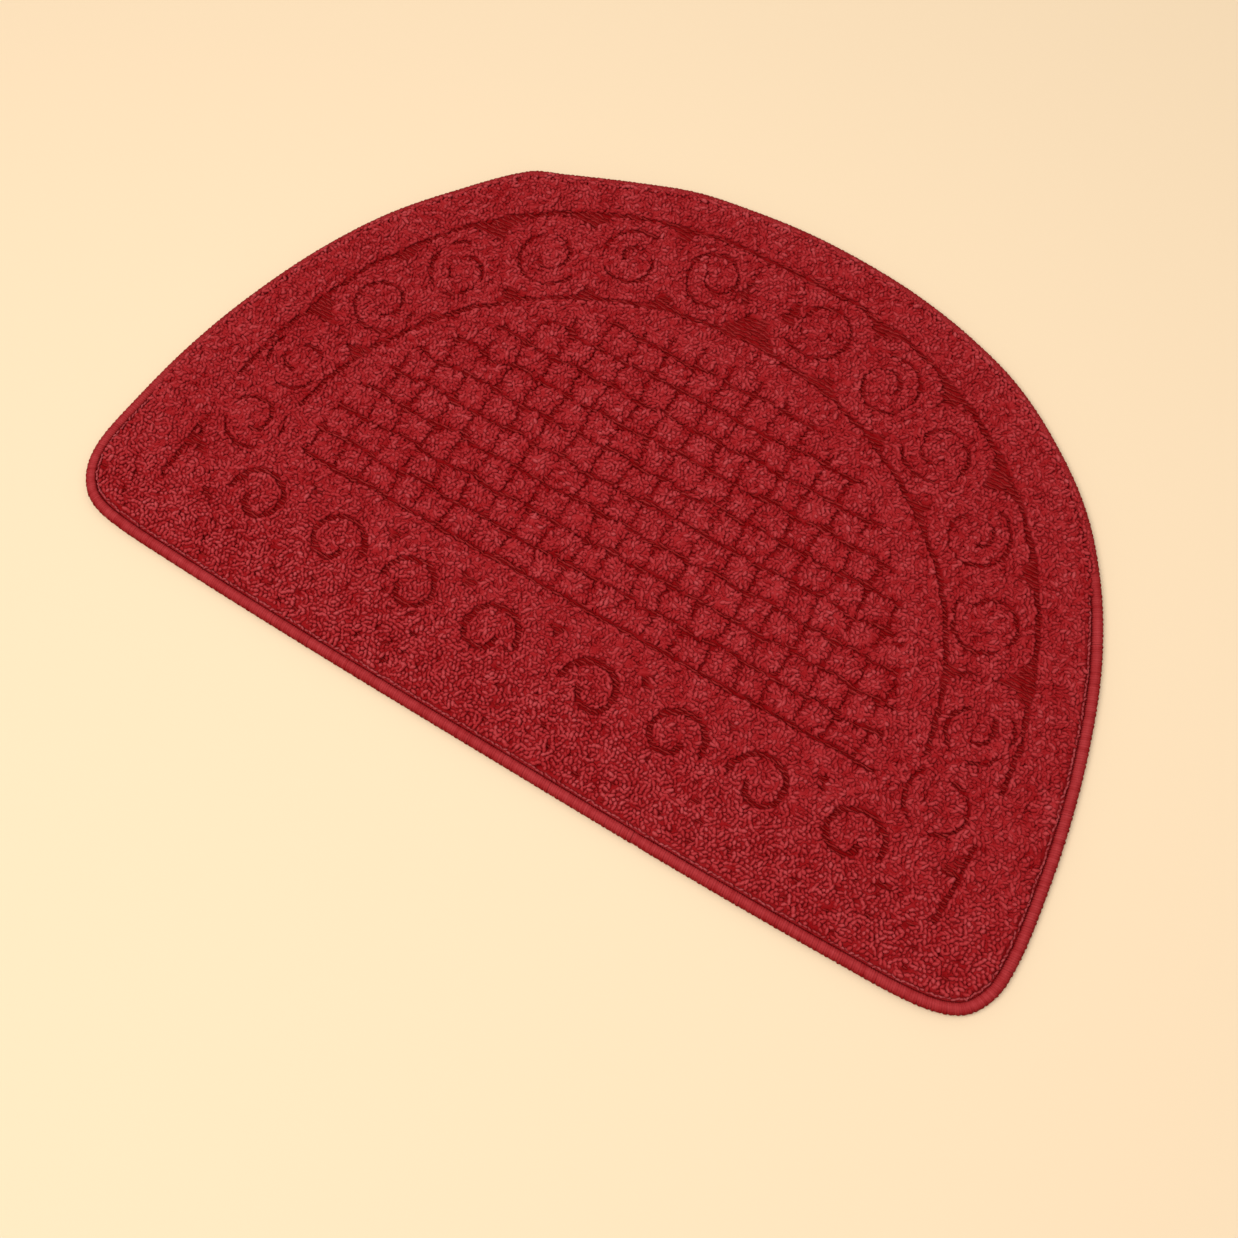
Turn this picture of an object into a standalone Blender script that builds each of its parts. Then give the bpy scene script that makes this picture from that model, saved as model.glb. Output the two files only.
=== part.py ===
"""A half moon doormat: one carpet of cut-pattern loop pile, and the binding sewn round its edge.

Everything is in metres in the object's own frame: the origin is at the middle of the bottom, +X runs
along the straight edge, +Y from the straight edge towards the middle of the arc, and +Z up. The tables
are in millimetres, because they are read and changed by hand, and MM turns them into metres.

The carpet's face is a height over (x, y). Three things lower it: narrow grooves, which are lines; pits,
which are the corners that the round scrolls leave between them; and the edge, which is pressed down under
the binding. Points are laid along each of these, a triangulation joins them, and the height lifts them.
"""

import math

import bmesh
import bpy
import numpy as np
from mathutils.geometry import delaunay_2d_cdt

MM = 0.001

# Thicknesses, in millimetres above the floor.
PILE_TOP = 9.0
COBBLE_TOP = 9.4
GROOVE_FLOOR = 6.4
PIT_FLOOR = 5.6
EDGE_TOP = 4.2
EDGE_BOTTOM = 1.8

# Widths of the edge, in millimetres inwards from the outline.
CARPET_EDGE = 2.7
CARPET_FOOT = 6.7
PILE_SLOPE = 9.2
PILE_SHOULDER = 12.6

# Grooves and pits, in millimetres.
GROOVE_HALF = 3.2
GROOVE_STEP = 7.0
PIT_SLOPE = 3.0
CLEAR_OF_BODY = 1.9

# The outline's corners, bends and longest straights, joined by a smooth closed curve. The arc isn't true:
# it is flatter between the bend at (-177, 142) and the top, as the mat lies. Columns: x, y, millimetres.
OUTLINE = [
    (-120, -186.6), (0, -187.6), (120, -188.0), (220, -186.6), (268, -184.0), (289, -176.5),
    (299, -161), (301.3, -141), (299.5, -112), (293, -64), (282.7, -17), (268.5, 27.5), (248.3, 68.8),
    (221.7, 105.6), (188.4, 135.2), (152.2, 158.3), (113.5, 173.1), (75, 182.4), (37, 187.1),
    (-1, 188.4), (-38, 186), (-77, 180.4), (-115.3, 167.6), (-155.7, 151.7), (-177.3, 142.2),
    (-208.7, 109.5), (-238.6, 71.7), (-262.8, 26.7), (-281.8, -24.8), (-293, -70), (-299.3, -115),
    (-301.2, -144), (-296.5, -162.5), (-284.5, -176), (-266, -181.8), (-220, -184.4),
]
OUTLINE_STEP = 11.5
OUTLINE_FINE_STEP = 6.0
BEND_IS_SHARP = 0.012

# The pattern mirrors left to right about this line.
AXIS_X = 1.0

# Round scrolls of the right half, from the top of the arc down to the corner. Columns: x from the axis, y,
# and the way the groove winds inwards, 1 anticlockwise and -1 clockwise.
SCROLLS = [
    (36, 132, 1), (87, 118, -1), (133, 95, 1), (175, 59, -1), (204, 17, 1), (226, -42, -1), (228, -86, 1),
]
SCROLL_OUTER, SCROLL_INNER, SCROLL_TURNS = 20.5, 6.0, 1.35
SCROLL_DISC = 30.0
SCROLL_FACES_Y = -60.0
START_BEFORE_INWARDS, START_PAST_OUTWARDS = math.radians(30), math.radians(40)

# Curls of the band along the straight edge, right half. The columns are the same.
CURLS = [(34, -128, -1), (87, -128, 1), (140, -127, -1), (195, -127, 1)]
CURL_OUTER, CURL_INNER, CURL_TURNS = 18.5, 6.5, 0.95

# Three-cornered pits: above the curls, at the foot of the last curl, in the corner, and beside the top
# scroll. Columns: x from the axis and y of each corner.
PITS = [
    ((-9, -103), (9, -103), (0, -115)), ((50, -103), (68, -103), (60, -115)),
    ((105, -103), (120, -103), (113, -113)), ((160, -103), (176, -103), (169, -114)),
    ((212, -143), (232, -143), (223, -134)), ((237, -121), (254, -121), (254, -98)),
    ((16, 153), (8, 126), (24, 120)),
]

# The line that bounds the scroll band outside is a squarish half oval, the one inside a half oval.
BAND_OUTER = {"foot_y": -120.0, "half_width": 256.0, "height": 279.0, "power": 2.3}
BAND_INNER = {"foot_y": -88.7, "half_width": 210.0, "height": 192.0, "power": 2.0}
BAND_END_Y = -65.0
STEM_HALF, STEM_FOOT_Y = 12.0, 121.0
CORNER_LINE = [(254, -98), (254, -142)]

# Cobbles: the pitch of their grooves, one crossing of them, and the half oval that they fill.
COBBLE_X, COBBLE_Y = 19.2, 18.04
FIRST_GROOVE_X, FIRST_GROOVE_Y = -187.7, -88.7
COBBLE_COLUMNS, COBBLE_ROWS = 19, 10
FIELD_CENTRE_X, FIELD_HALF_WIDTH, FIELD_HEIGHT = -3.0, 190.0, 176.0
COBBLE_SHOULDER = 3.1
FIELD_LINE = (-186.0, 190.0)

# The binding's section: distance inwards from the outline, and height, in millimetres, once round the C.
BINDING_SECTION = [
    (0.0, 1.7), (0.0, 4.2), (0.9, 5.5), (2.9, 6.1), (5.2, 5.9), (6.4, 5.1), (6.4, 4.5),
    (2.4, 4.5), (2.4, 1.5), (6.4, 1.5), (6.4, 0.0), (1.2, 0.0),
]

CARPET_RED = (0.30, 0.018, 0.020, 1.0)
BINDING_RED = (0.36, 0.024, 0.026, 1.0)
FILLER_STEP = 15.0


def clear_scene():
    """Remove whatever the file opened with."""
    for thing in list(bpy.data.objects):
        bpy.data.objects.remove(thing, do_unlink=True)


def cloth_material(name, colour, roughness):
    """A matt dyed yarn."""
    material = bpy.data.materials.new(name)
    material.use_nodes = True
    shader = material.node_tree.nodes["Principled BSDF"]
    shader.inputs["Base Color"].default_value = colour
    shader.inputs["Roughness"].default_value = roughness
    shader.inputs["Metallic"].default_value = 0.0
    return material


def along(points, step, closed=False):
    """Points spaced evenly, about a step apart, along a line through the given points."""
    line = np.asarray(points, float)
    if closed:
        line = np.vstack([line, line[:1]])
    run = np.concatenate([[0.0], np.cumsum(np.linalg.norm(np.diff(line, axis=0), axis=1))])
    count = max(int(round(run[-1] / step)), 1)
    places = np.linspace(0.0, run[-1], count + 1)
    if closed:
        places = places[:-1]
    return np.column_stack([np.interp(places, run, line[:, k]) for k in (0, 1)])


def smooth_loop(points, per_span=24):
    """A closed Catmull-Rom curve: a cubic through each point, heading from one neighbour to the other."""
    p = np.asarray(points, float)
    before, after, beyond = np.roll(p, 1, 0), np.roll(p, -1, 0), np.roll(p, -2, 0)
    t = (np.arange(per_span) / per_span)[None, :, None]
    reach = np.linalg.norm(after - p, axis=1)[:, None, None]
    behind = np.linalg.norm(p - before, axis=1)[:, None, None]
    ahead = np.linalg.norm(beyond - after, axis=1)[:, None, None]
    leave = (after - before)[:, None] * reach / (reach + behind)
    arrive = (beyond - p)[:, None] * reach / (reach + ahead)
    curve = (
        (2 * t**3 - 3 * t**2 + 1) * p[:, None] + (t**3 - 2 * t**2 + t) * leave
        + (3 * t**2 - 2 * t**3) * after[:, None] + (t**3 - t**2) * arrive
    )
    return curve.reshape(-1, 2)


def stations():
    """Places along the outline, closer together where it bends, with the direction inwards at each."""
    fine = along(smooth_loop(OUTLINE), 1.0, closed=True)
    fine -= (fine.max(axis=0) + fine.min(axis=0)) / 2
    heading = np.roll(fine, -4, 0) - np.roll(fine, 4, 0)
    heading /= np.linalg.norm(heading, axis=1, keepdims=True)
    angle = np.unwrap(np.arctan2(heading[:, 1], heading[:, 0]))
    bend = np.abs(np.gradient(angle))
    wanted = 1.0 / np.where(bend > BEND_IS_SHARP, OUTLINE_FINE_STEP, OUTLINE_STEP)
    travelled = np.cumsum(wanted)
    count = int(travelled[-1])
    chosen = np.searchsorted(travelled, (np.arange(count) + 0.5) * travelled[-1] / count)
    inwards = np.column_stack([-heading[:, 1], heading[:, 0]])
    return fine[chosen], inwards[chosen]


def spiral(centre, outer, inner, turns, way, start):
    """A groove that winds in from the outer radius to the inner one at a steady rate."""
    share = np.linspace(0.0, 1.0, 40)
    radius = outer + (inner - outer) * share**1.4
    angle = start + way * 2 * math.pi * turns * share
    return np.column_stack([centre[0] + radius * np.cos(angle), centre[1] + radius * np.sin(angle)])


def half_oval(shape):
    """One side of a band's line, from the top of the arc down to the band's end: a superellipse."""
    y = np.linspace(shape["foot_y"] + shape["height"], BAND_END_Y, 160)
    rise = np.clip((y - shape["foot_y"]) / shape["height"], 0.0, 1.0)
    x = shape["half_width"] * (1.0 - rise ** shape["power"]) ** (1.0 / shape["power"])
    return np.column_stack([x, y])


def mirrored(line):
    """A line given from the axis, in its place on the right and on the left."""
    line = np.asarray(line, float)
    return [line * [1, 1] + [AXIS_X, 0], line * [-1, 1] + [AXIS_X, 0]]


def ornament_lines():
    """Every groove of the scroll band and of the curl band."""
    lines = []
    for x, y, way in SCROLLS:
        inwards = math.atan2(SCROLL_FACES_Y - y, -x)
        start = inwards - START_BEFORE_INWARDS if way > 0 else inwards + math.pi + START_PAST_OUTWARDS
        lines += mirrored(spiral((x, y), SCROLL_OUTER, SCROLL_INNER, SCROLL_TURNS, way, start))
    for x, y, way in CURLS:
        start = math.pi if way < 0 else 0.0
        lines += mirrored(spiral((x, y), CURL_OUTER, CURL_INNER, CURL_TURNS, way, start))
    lines += mirrored(half_oval(BAND_OUTER)) + mirrored(half_oval(BAND_INNER)) + mirrored(CORNER_LINE)
    return [along(line, GROOVE_STEP) for line in lines]


def cobble_lines():
    """The straight grooves between the cobbles, each as long as the field is there."""
    lines = []
    for k in range(COBBLE_COLUMNS + 1):
        x = FIRST_GROOVE_X + k * COBBLE_X
        share = 1.0 - ((x - FIELD_CENTRE_X) / FIELD_HALF_WIDTH) ** 2
        top = FIRST_GROOVE_Y + FIELD_HEIGHT * math.sqrt(max(share, 0.0))
        if top - FIRST_GROOVE_Y > COBBLE_Y:
            lines.append([(x, FIRST_GROOVE_Y), (x, top)])
    for k in range(1, COBBLE_ROWS):
        y = FIRST_GROOVE_Y + k * COBBLE_Y
        half = FIELD_HALF_WIDTH * math.sqrt(1.0 - ((y - FIRST_GROOVE_Y) / FIELD_HEIGHT) ** 2)
        lines.append([(FIELD_CENTRE_X - half, y), (FIELD_CENTRE_X + half, y)])
    lines.append([(FIELD_LINE[0], FIRST_GROOVE_Y), (FIELD_LINE[1], FIRST_GROOVE_Y)])
    return lines


def cobble_points(lines):
    """Three points to a pitch both ways, on a groove and its two shoulders, and round each groove's end."""
    def cuts(first, pitch, count):
        grooves = first + pitch * np.arange(count + 1)
        return np.unique(np.concatenate([grooves, grooves - COBBLE_SHOULDER, grooves + COBBLE_SHOULDER]))

    x, y = np.meshgrid(
        cuts(FIRST_GROOVE_X, COBBLE_X, COBBLE_COLUMNS), cuts(FIRST_GROOVE_Y, COBBLE_Y, COBBLE_ROWS)
    )
    across = (x - FIELD_CENTRE_X) / FIELD_HALF_WIDTH
    up = np.maximum(y - FIRST_GROOVE_Y, 0.0) / FIELD_HEIGHT
    inside = across**2 + up**2 < 1.0
    return np.vstack([np.column_stack([x[inside], y[inside]])] + [round_the_end(line) for line in lines])


def nearest(points, line):
    """The distance from each point to the nearest place on a line of straight steps."""
    line = np.asarray(line, float)
    best = np.full(len(points), np.inf)
    for start, end in zip(line[:-1], line[1:]):
        step = end - start
        share = np.clip(((points - start) @ step) / max(step @ step, 1e-9), 0.0, 1.0)
        best = np.minimum(best, np.linalg.norm(points - start - share[:, None] * step, axis=1))
    return best


def oval_share(shape, x, y):
    """Below 1 inside the superellipse, 1 on it, and above 1 outside."""
    wide = np.abs(x) / shape["half_width"]
    high = np.maximum(y - shape["foot_y"], 0.0) / shape["height"]
    return wide ** shape["power"] + high ** shape["power"]


def triangle_depth(x, y, corners):
    """How far inside a triangle each point is, negative outside: the least distance from its sides."""
    centre = np.mean(corners, axis=0)
    depth = np.full(len(x), np.inf)
    for start, end in zip(corners, corners[1:] + corners[:1]):
        normal = np.array([start[1] - end[1], end[0] - start[0]], float)
        normal /= np.linalg.norm(normal)
        if (centre - start) @ normal < 0:
            normal = -normal
        depth = np.minimum(depth, (x - start[0]) * normal[0] + (y - start[1]) * normal[1])
    return depth


def pit_depth(points):
    """How far inside a pit each point is: what the scrolls' discs leave of their band, or a triangle."""
    x, y = np.abs(points[:, 0] - AXIS_X), points[:, 1]
    clear = np.full(len(points), np.inf)
    for sx, sy, _way in SCROLLS:
        clear = np.minimum(clear, np.hypot(x - sx, y - sy) - SCROLL_DISC)
    band = (oval_share(BAND_OUTER, x, y) < 1.0) & (oval_share(BAND_INNER, x, y) > 1.0) & (y > BAND_END_Y)
    stem = (x < STEM_HALF) & (y > STEM_FOOT_Y)
    depth = np.where(band & ~stem, clear, -1.0)
    for corners in PITS:
        depth = np.maximum(depth, triangle_depth(x, y, list(corners)))
    return depth


def pit_points():
    """Places on the rim of each pit and where its slope ends, and one in the middle of each triangle."""
    rims = []
    turn = np.linspace(0.0, 2 * math.pi, 40, endpoint=False)
    for x, y, _way in SCROLLS:
        for radius in (SCROLL_DISC, SCROLL_DISC + PIT_SLOPE):
            rims += mirrored(np.column_stack([x + radius * np.cos(turn), y + radius * np.sin(turn)]))
    rims = np.vstack(rims)
    rims = rims[pit_depth(rims) > -0.01]
    triangles = []
    for corners in PITS:
        triangles += mirrored(along(corners, 6.0, closed=True))
        triangles += mirrored([np.mean(corners, axis=0)])
    return np.vstack([rims] + triangles)


def round_the_end(line):
    """Three places round each end of a groove, so that it closes there: beyond the end and beside it."""
    line = np.asarray(line, float)
    places = []
    for end, before in ((line[0], line[1]), (line[-1], line[-2])):
        ahead = (end - before) / np.linalg.norm(end - before)
        aside = np.array([-ahead[1], ahead[0]])
        places += [end, end + ahead * GROOVE_HALF, end + aside * GROOVE_HALF, end - aside * GROOVE_HALF]
    return np.array(places)


def face_height(points, edge_distance, lines):
    """The carpet's top in millimetres: the pile, less grooves and pits, and pressed down at its edge."""
    height = np.full(len(points), PILE_TOP)
    fx = (points[:, 0] - FIELD_CENTRE_X) / FIELD_HALF_WIDTH
    fy = (points[:, 1] - FIRST_GROOVE_Y) / FIELD_HEIGHT
    height[(fy > 0) & (fx**2 + fy**2 < 1.0)] = COBBLE_TOP
    low = np.clip(pit_depth(points) / PIT_SLOPE, 0.0, 1.0)
    height += low * (PIT_FLOOR - height)
    for line in lines:
        share = np.clip(nearest(points, line) / GROOVE_HALF, 0.0, 1.0)
        height = np.minimum(height, GROOVE_FLOOR + share * (height - GROOVE_FLOOR))
    rise = np.interp(edge_distance, [CARPET_FOOT, PILE_SLOPE, PILE_SHOULDER], [0.0, 0.82, 1.0])
    return EDGE_TOP + rise * (height - EDGE_TOP)


def thinned(points, least):
    """The points in order, each kept only if it is further than least from those kept before it."""
    kept, cells = [], {}
    for x, y in points:
        cell = (int(x // least), int(y // least))
        around = [(cell[0] + i, cell[1] + j) for i in (-1, 0, 1) for j in (-1, 0, 1)]
        near = [place for other in around for place in cells.get(other, ())]
        if all((x - u) ** 2 + (y - v) ** 2 > least**2 for u, v in near):
            cells.setdefault(cell, []).append((x, y))
            kept.append((x, y))
    return np.array(kept)


def beside(line, offset):
    """The line moved sideways by an offset."""
    heading = np.gradient(line, axis=0)
    heading /= np.linalg.norm(heading, axis=1, keepdims=True)
    return line + offset * np.column_stack([-heading[:, 1], heading[:, 0]])


def face_points(outline, inwards, lines, cobbles):
    """Places for the carpet's top: along each groove and its shoulders, and a few in the plain parts."""
    dense = [outline + inwards * PILE_SLOPE, outline + inwards * PILE_SHOULDER, cobble_points(cobbles)]
    dense += lines + [round_the_end(line) for line in lines]
    dense += [beside(line, side * GROOVE_HALF) for line in lines for side in (-1, 1)]
    dense = thinned(np.vstack(dense + [pit_points()]), CLEAR_OF_BODY)
    x, y = np.meshgrid(np.arange(-300, 301, FILLER_STEP), np.arange(-185, 190, FILLER_STEP * 0.87))
    x = x + (np.arange(len(x)) % 2)[:, None] * FILLER_STEP / 2
    filler = np.column_stack([x.ravel(), y.ravel()])
    apart = np.array([np.min(np.hypot(dense[:, 0] - u, dense[:, 1] - v)) for u, v in filler])
    everything = np.vstack([dense, filler[apart > 0.55 * FILLER_STEP]])
    rim = outline + inwards * CARPET_FOOT
    clear = nearest(everything, np.vstack([rim, rim[:1]])) > CLEAR_OF_BODY
    return everything[(distance_inside(everything, outline) > CARPET_FOOT) & clear]


def distance_inside(points, loop):
    """The distance from each point to a closed loop, negative outside it."""
    closed = np.vstack([loop, loop[:1]])
    distance = nearest(points, closed)
    crossings = np.zeros(len(points), int)
    for (x0, y0), (x1, y1) in zip(closed[:-1], closed[1:]):
        between = (y0 > points[:, 1]) != (y1 > points[:, 1])
        rise = np.where(between, y1 - y0, 1.0)
        crossings += between & (points[:, 0] < (x1 - x0) * (points[:, 1] - y0) / rise + x0)
    return np.where(crossings % 2 == 1, distance, -distance)


def new_object(name, bm, material):
    """Put a finished bmesh in the scene under its own name."""
    bmesh.ops.recalc_face_normals(bm, faces=bm.faces)
    mesh = bpy.data.meshes.new(name)
    bm.to_mesh(mesh)
    bm.free()
    thing = bpy.data.objects.new(name, mesh)
    bpy.context.scene.collection.objects.link(thing)
    mesh.materials.append(material)
    return thing


def ring_of(bm, flat, height):
    """A closed row of vertices at one height."""
    return [bm.verts.new((x * MM, y * MM, height * MM)) for x, y in flat]


def bridge(bm, lower, upper):
    """Faces between two closed rows of the same number of vertices."""
    count = len(lower)
    for k in range(count):
        bm.faces.new((lower[k], lower[(k + 1) % count], upper[(k + 1) % count], upper[k]))


def carpet(outline, inwards):
    """The pile carpet: a flat underside, an edge pressed thin for the binding, and the patterned face."""
    ornament, cobbles = ornament_lines(), cobble_lines()
    rim = outline + inwards * CARPET_FOOT
    inner = face_points(outline, inwards, ornament, cobbles)
    flat = [tuple(p) for p in np.vstack([rim, inner])]
    loop = [(k, (k + 1) % len(rim)) for k in range(len(rim))]
    places, _edges, faces, origin, _e, _f = delaunay_2d_cdt(flat, loop, [], 1, 1e-4)
    places = np.array([(p.x, p.y) for p in places])
    height = face_height(places, distance_inside(places, outline), ornament + cobbles)

    bm = bmesh.new()
    top = [None] * len(places)
    top_rim = [None] * len(rim)
    for k, (x, y) in enumerate(places):
        at_rim = [q for q in origin[k] if q < len(rim)]
        z = EDGE_TOP if at_rim else height[k]
        top[k] = bm.verts.new((x * MM, y * MM, z * MM))
        if at_rim:
            top_rim[at_rim[0]] = top[k]
    for face in faces:
        bm.faces.new([top[k] for k in face])
    upper_edge = ring_of(bm, outline + inwards * CARPET_EDGE, EDGE_TOP)
    lower_edge = ring_of(bm, outline + inwards * CARPET_EDGE, EDGE_BOTTOM)
    lower_rim = ring_of(bm, rim, EDGE_BOTTOM)
    foot = ring_of(bm, rim, 0.0)
    rows = [top_rim, upper_edge, lower_edge, lower_rim, foot]
    for upper, lower in zip(rows[:-1], rows[1:]):
        bridge(bm, lower, upper)
    bm.faces.new(list(reversed(foot)))
    return new_object("pile_carpet", bm, cloth_material("pile_red", CARPET_RED, 0.95))


def binding(outline, inwards):
    """The edge binding: one C-shaped section carried all round the outline, gripping the carpet's edge."""
    bm = bmesh.new()
    rows = [ring_of(bm, outline + inwards * across, height) for across, height in BINDING_SECTION]
    for row, following in zip(rows, rows[1:] + rows[:1]):
        bridge(bm, row, following)
    return new_object("edge_binding", bm, cloth_material("binding_red", BINDING_RED, 0.85))


def main():
    clear_scene()
    outline, inwards = stations()
    carpet(outline, inwards)
    binding(outline, inwards)


main()
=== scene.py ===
"""The looks of a half moon doormat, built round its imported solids.

The mat's plan is worked out in millimetres, x along the straight edge and y towards the arc, and MM turns
a finished piece into metres. The tables of the pattern are those of the solids. On them stand the bed, the
loops of the pile, the flat rows where the pile is low, the wound edge and the stitches beside it.
"""

import math

import bpy
import numpy as np
from mathutils import Matrix, Vector


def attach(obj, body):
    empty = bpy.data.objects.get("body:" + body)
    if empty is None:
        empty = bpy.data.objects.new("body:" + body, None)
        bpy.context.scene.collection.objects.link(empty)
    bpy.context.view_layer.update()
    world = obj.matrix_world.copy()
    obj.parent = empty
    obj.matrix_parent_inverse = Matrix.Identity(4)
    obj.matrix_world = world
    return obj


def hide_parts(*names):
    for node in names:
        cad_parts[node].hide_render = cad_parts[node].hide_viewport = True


MM = 0.001

# The view of the mat: where the camera stands, the place on the floor that it looks at, and its roll.
CAMERA_PLACE = (0.2020, -0.2900, 0.7867)
CAMERA_LOOKS_AT = (0.0257, -0.0824, 0.0)
CAMERA_ROLL = math.radians(-9.5)
CAMERA_LENS = 42.85
CAMERA_SENSOR = 36.0

# Heights above the floor.
PILE_TOP, COBBLE_TOP = 9.0, 9.4
GROOVE_FLOOR, PIT_FLOOR = 6.9, 6.4
EDGE_TOP, EDGE_BOTTOM = 4.2, 1.8

# The outline's corners, bends and longest straights, joined by a smooth closed curve. Columns: x, y.
OUTLINE = [
    (-120, -186.6), (0, -187.6), (120, -188.0), (220, -186.6), (268, -184.0), (289, -176.5),
    (299, -161), (301.3, -141), (299.5, -112), (293, -64), (282.7, -17), (268.5, 27.5), (248.3, 68.8),
    (221.7, 105.6), (188.4, 135.2), (152.2, 158.3), (113.5, 173.1), (75, 182.4), (37, 187.1),
    (-1, 188.4), (-38, 186), (-77, 180.4), (-115.3, 167.6), (-155.7, 151.7), (-177.3, 142.2),
    (-208.7, 109.5), (-238.6, 71.7), (-262.8, 26.7), (-281.8, -24.8), (-293, -70), (-299.3, -115),
    (-301.2, -144), (-296.5, -162.5), (-284.5, -176), (-266, -181.8), (-220, -184.4),
]
CARPET_EDGE, CARPET_FOOT = 2.7, 6.7

# The pattern mirrors left to right about this line.
AXIS_X = 1.0

# Round scrolls of the right half. Columns: x from the axis, y, and the way the groove winds inwards.
SCROLLS = [
    (36, 132, 1), (87, 118, -1), (133, 95, 1), (175, 59, -1), (204, 17, 1), (226, -42, -1), (228, -86, 1),
]
SCROLL_OUTER, SCROLL_INNER, SCROLL_TURNS = 20.5, 6.0, 1.35
SCROLL_DISC = 30.0
SPIRAL_EASE, SPIRAL_POINTS = 1.4, 40
SCROLL_FACES_Y = -60.0
START_BEFORE_INWARDS, START_PAST_OUTWARDS = math.radians(30), math.radians(40)

# Curls of the band along the straight edge, right half. The columns are the same.
CURLS = [(34, -128, -1), (87, -128, 1), (140, -127, -1), (195, -127, 1)]
CURL_OUTER, CURL_INNER, CURL_TURNS = 18.5, 6.5, 0.95
CURLS_FROM_Y, CURLS_HALF_WIDTH = -150.0, 256.0

# Three-cornered pits. Columns: x from the axis and y of each corner.
PITS = [
    ((-9, -103), (9, -103), (0, -115)), ((50, -103), (68, -103), (60, -115)),
    ((105, -103), (120, -103), (113, -113)), ((160, -103), (176, -103), (169, -114)),
    ((212, -143), (232, -143), (223, -134)), ((237, -121), (254, -121), (254, -98)),
    ((16, 153), (8, 126), (24, 120)),
]

# The lines that bound the scroll band, and the corner's short line.
BAND_OUTER = {"foot_y": -120.0, "half_width": 256.0, "height": 279.0, "power": 2.3}
BAND_INNER = {"foot_y": -88.7, "half_width": 210.0, "height": 192.0, "power": 2.0}
BAND_END_Y = -65.0
STEM_HALF, STEM_FOOT_Y = 12.0, 121.0
CORNER_LINE = [(254, -98), (254, -142)]

# Cobbles: the pitch of their grooves, one crossing of them, and the half oval that they fill. Each is a
# rounded square: a superellipse of this power and half width.
COBBLE_X, COBBLE_Y = 19.2, 18.04
FIRST_GROOVE_X, FIRST_GROOVE_Y = -187.7, -88.7
FIELD_CENTRE_X, FIELD_HALF_WIDTH, FIELD_HEIGHT = -3.0, 190.0, 176.0
FIELD_LINE = (-186.0, 190.0)
COBBLE_POWER, COBBLE_HALF = 5.0, 9.3
COLUMN_SHARE = 0.94

# The grooves' lines have steps of these lengths, the curls' shorter ones, and are read up to so far off.
LINE_STEP, CURL_STEP = 4.5, 3.5
FAR = 9.0

# How the pattern has worn. Its lines wander, in long waves and short ones. Each kind of groove is wider by
# its extra, and the pile has closed up parts of the scrolls and of the cobbles' gaps.
COBBLE_WANDER, LINE_WANDER, SHIVER_SHARE = 1.3, 0.5, 0.5
SWAY_LENGTH, SHIVER_LENGTH = 29.0, 9.0
GAP_EXTRA, CURL_EXTRA, SCROLL_EXTRA, BOUND_EXTRA = 0.2, 1.0, 0.3, 0.6
SCROLL_CLOSED, SCROLL_CLOSED_LENGTH = 1.9, 27.0
GAP_CLOSED, GAP_CLOSED_LENGTH = 0.9, 13.0

# A pit's ragged edge, and how far into it the loops lean. Loose pile has parted in places, like small pits.
PIT_RAGGED, RAGGED_LENGTH, PIT_LEAN = 1.1, 7.0, 1.4
PARTED_LENGTH, PARTED_ABOVE, PARTED_STEEP = 10.0, 1.1, 5.0

# The pile's bed: how far it lies below the loops' crests, loose and matted, and how it falls into a groove,
# into a pit and to the seam beside the binding.
BED_BELOW_LOOSE, BED_BELOW_MATTED, BED_IN_GROOVE = 1.5, 1.3, 5.2
BED_FALL, BED_PIT_FALL = (0.3, 1.9), 2.0
SEAM_CLEAR, SEAM_FALL = 0.4, 1.8
BED_COLUMNS, BED_ROWS, BED_STEP = 340, 216, 0.5
BED_CORNERS = [(-296.5, -162.5), (299.0, -161.0), (195.0, 130.0), (-190.0, 128.0)]

# The pile's rows run along x and fill a field of this size. Each loop starts at these pitches and settles
# on the nearest ridge of the pile, in steps that also push it off its neighbours.
ROW_PITCH, LOOP_PITCH = 2.5, 2.55
FIELD_X, FIELD_Y = 303, 190
LOOP_SHAKE, LOOP_APART = 0.5, 2.5
RIDGE_PITCH, RIDGE_WAYS, RIDGE_SPREAD = 2.55, 20, (0.8, 1.2)
SETTLE_STEPS, SETTLE_PUSH, CROSS_MOST = 6, 0.3, 0.8

# A loop: half its length and its turn off the ridge, both loose and matted, then its section and its tips.
LOOP_HALF_LOOSE, LOOP_HALF_MATTED = (0.8, 1.8), (0.8, 1.9)
LOOP_TURN_LOOSE, LOOP_TURN_MATTED = 0.55, 0.7
LOOP_WIDE, LOOP_TALL = 1.36, 1.05
TIP_REACH, TIP_LIFT, TIP_NARROWS = 1.25, 0.5, 0.4

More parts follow.
